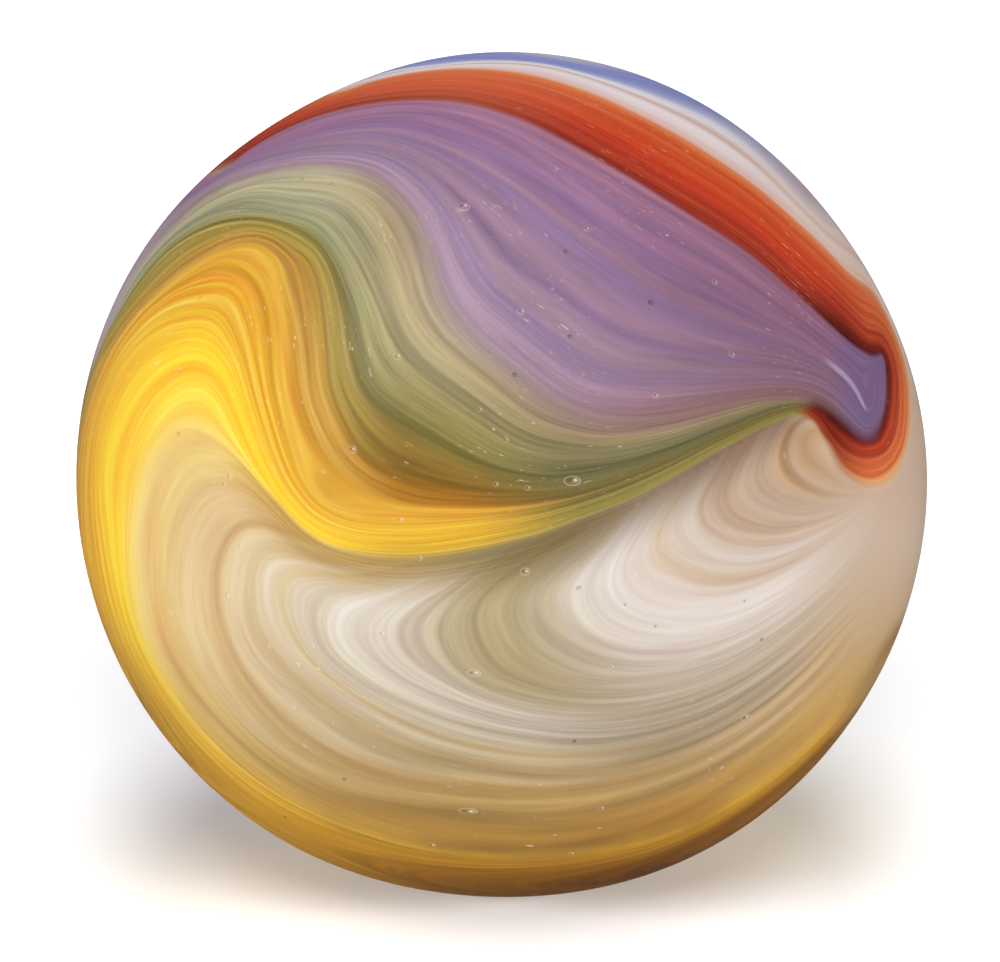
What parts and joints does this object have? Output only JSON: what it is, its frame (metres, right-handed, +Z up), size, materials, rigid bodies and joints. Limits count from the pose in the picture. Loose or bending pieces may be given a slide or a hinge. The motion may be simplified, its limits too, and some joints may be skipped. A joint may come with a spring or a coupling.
{
  "type": "glass marble",
  "caption": "Solid ball of swirled opaque glass that rolls on any flat surface, for games, bench tests, seats or display.",
  "frame": {"origin": "centre of the ball", "axes": "+Z up, the showing side of the swirl faces -Y, +X to its right"},
  "size_m": [0.025, 0.025, 0.025],
  "materials": {
    "swirl_glass": "opaque swirled glass, fire-polished and glossy, with seed bubbles and small open pits"
  },
  "bodies": {
    "root": {"marble": "swirl_glass"}
  },
  "joints": []
}
